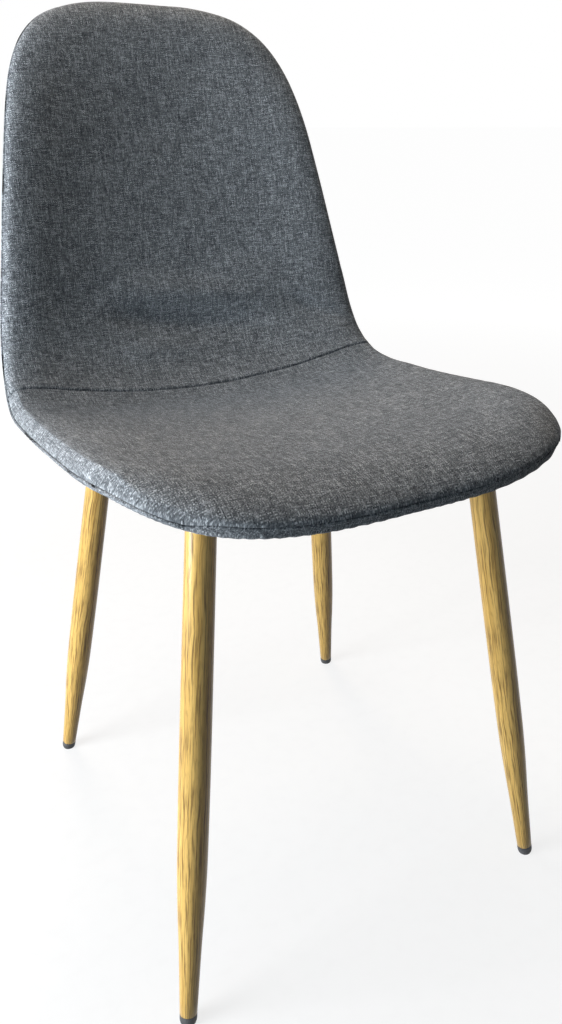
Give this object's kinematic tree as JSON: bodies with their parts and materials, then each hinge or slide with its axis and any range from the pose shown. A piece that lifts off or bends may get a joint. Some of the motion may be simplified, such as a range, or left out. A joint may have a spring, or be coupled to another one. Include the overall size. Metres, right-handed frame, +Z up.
{
  "type": "dining chair",
  "caption": "Armless dining chair with a one-piece upholstered shell in blue-grey woven cloth on splayed, tapered wood-look metal legs.",
  "frame": {"origin": "on the floor under the middle of the chair's box", "axes": "+Z up, -Y toward the front of the seat, +X to the right as seen from the front; left and right in names are as seen from the front"},
  "size_m": [0.44, 0.5736, 0.861],
  "materials": {
    "fabric": "heathered blue-grey plain weave with slubs",
    "foam": "open-cell foam",
    "wadding": "polyester felt",
    "plywood": "moulded plywood, raw",
    "dust_cloth": "black non-woven cloth",
    "frame_steel": "black powder coat",
    "leg_film": "glossy wood-grain film on steel tube",
    "zinc_steel": "bright zinc plate",
    "black_plastic": "moulded, fine texture",
    "rubber": "matt black"
  },
  "bodies": {
    "root": {"seat_cover": "fabric", "back_cover": "fabric", "rear_cover": "fabric", "foam_pad": "foam", "plywood_shell": "plywood", "rear_wadding": "wadding", "dust_cover": "dust_cloth", "frame_hub": "frame_steel", "frame_arm_front_left": "frame_steel", "frame_arm_front_right": "frame_steel", "frame_arm_rear_left": "frame_steel", "frame_arm_rear_right": "frame_steel", "arm_cap_front_left": "black_plastic", "arm_cap_front_right": "black_plastic", "arm_cap_rear_left": "black_plastic", "arm_cap_rear_right": "black_plastic", "mount_pad_front_left": "rubber", "mount_pad_front_right": "rubber", "mount_pad_rear_left": "rubber", "mount_pad_rear_right": "rubber", "t_nut_front_left": "zinc_steel", "t_nut_front_right": "zinc_steel", "t_nut_rear_left": "zinc_steel", "t_nut_rear_right": "zinc_steel", "seat_bolt_front_left": "zinc_steel", "seat_bolt_front_right": "zinc_steel", "seat_bolt_rear_left": "zinc_steel", "seat_bolt_rear_right": "zinc_steel", "washer_front_left": "zinc_steel", "washer_front_right": "zinc_steel", "washer_rear_left": "zinc_steel", "washer_rear_right": "zinc_steel", "leg_front_left": "leg_film", "leg_front_right": "leg_film", "leg_rear_left": "leg_film", "leg_rear_right": "leg_film", "leg_boss_front_left": "frame_steel", "leg_boss_front_right": "frame_steel", "leg_boss_rear_left": "frame_steel", "leg_boss_rear_right": "frame_steel", "leg_plug_front_left": "zinc_steel", "leg_plug_front_right": "zinc_steel", "leg_plug_rear_left": "zinc_steel", "leg_plug_rear_right": "zinc_steel", "foot_glide_front_left": "black_plastic", "foot_glide_front_right": "black_plastic", "foot_glide_rear_left": "black_plastic", "foot_glide_rear_right": "black_plastic"}
  },
  "joints": []
}
